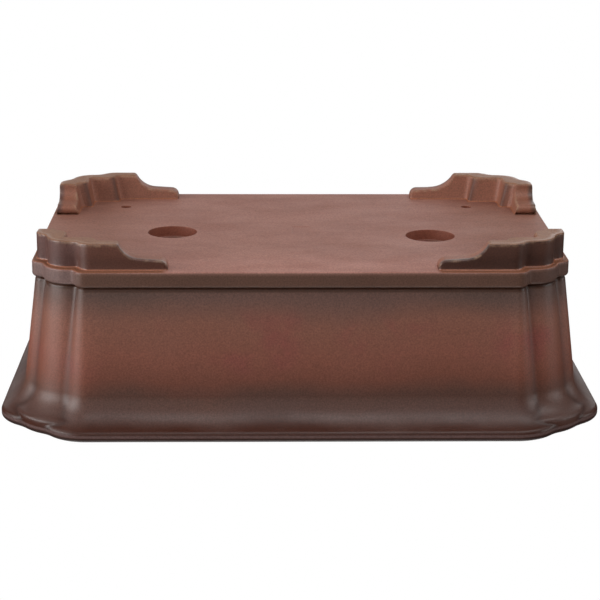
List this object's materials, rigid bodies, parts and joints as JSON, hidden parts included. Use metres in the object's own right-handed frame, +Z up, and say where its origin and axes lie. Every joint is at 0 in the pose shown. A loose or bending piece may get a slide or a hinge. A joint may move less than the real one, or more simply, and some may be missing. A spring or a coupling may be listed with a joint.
{
  "type": "bonsai pot",
  "caption": "Rectangular unglazed stoneware bonsai pot with indented lobed corners, flared rim, banded floor, cloud feet, drain holes and tie-wire holes.",
  "frame": {"origin": "on the table at the centre of the pot's footprint, level with the soles of the feet", "axes": "+Z up out of the mouth, +X along the length to the right end, +Y across the width to the back"},
  "size_m": [0.42, 0.286, 0.1305],
  "materials": {
    "floor_clay": "matt unglazed",
    "wall_clay": "burnished unglazed",
    "rim_clay": "burnished unglazed",
    "foot_clay": "matt unglazed"
  },
  "bodies": {
    "root": {"floor_slab": "floor_clay", "wall_front": "wall_clay", "wall_back": "wall_clay", "wall_left": "wall_clay", "wall_right": "wall_clay", "corner_lobe_front_left": "wall_clay", "corner_lobe_front_right": "wall_clay", "corner_lobe_back_left": "wall_clay", "corner_lobe_back_right": "wall_clay", "rim_front": "rim_clay", "rim_back": "rim_clay", "rim_left": "rim_clay", "rim_right": "rim_clay", "rim_lobe_front_left": "rim_clay", "rim_lobe_front_right": "rim_clay", "rim_lobe_back_left": "rim_clay", "rim_lobe_back_right": "rim_clay", "foot_front_left": "foot_clay", "foot_front_right": "foot_clay", "foot_back_left": "foot_clay", "foot_back_right": "foot_clay"}
  },
  "joints": []
}
